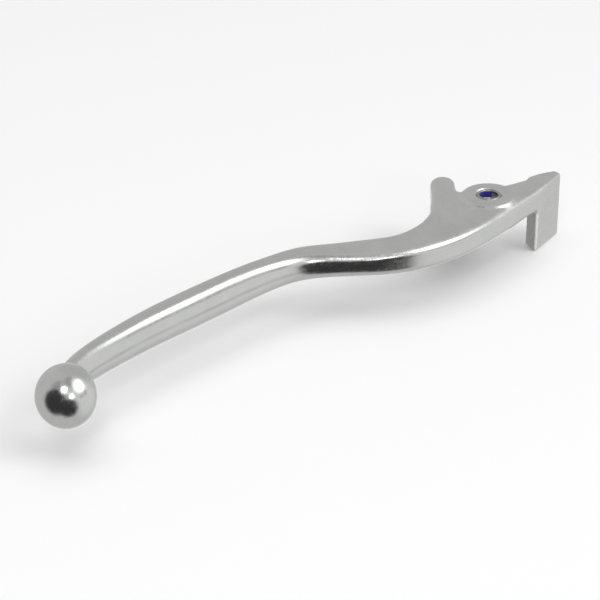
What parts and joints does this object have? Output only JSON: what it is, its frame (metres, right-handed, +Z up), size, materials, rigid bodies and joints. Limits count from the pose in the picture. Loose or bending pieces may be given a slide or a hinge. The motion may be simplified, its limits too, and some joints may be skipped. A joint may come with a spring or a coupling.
{
  "type": "clutch lever",
  "caption": "Forged aluminium hand lever with a ball end, a flat pivot head, a push finger and a hanging switch leg, turning on a steel pivot collar.",
  "frame": {"origin": "on the pivot axis, half way up the pivot boss", "axes": "+Z up along the pivot axis, +X from the pivot towards the ball end, -Y the side the grip is pulled towards"},
  "size_m": [0.2153, 0.0368, 0.0279],
  "materials": {
    "lever_aluminium": "polished grip and ball, satin head",
    "collar_steel": "ground",
    "blue_nylon": "moulded"
  },
  "bodies": {
    "collar": {"pivot_collar": "collar_steel", "nylon_ring": "blue_nylon"},
    "lever": {"lever_casting": "lever_aluminium"}
  },
  "joints": [
    {"name": "lever_swing", "type": "hinge", "parent": "collar", "child": "lever", "pos_m": [0, 0, 0], "axis": [0, 0, -1], "range_deg": [0, 22]}
  ]
}
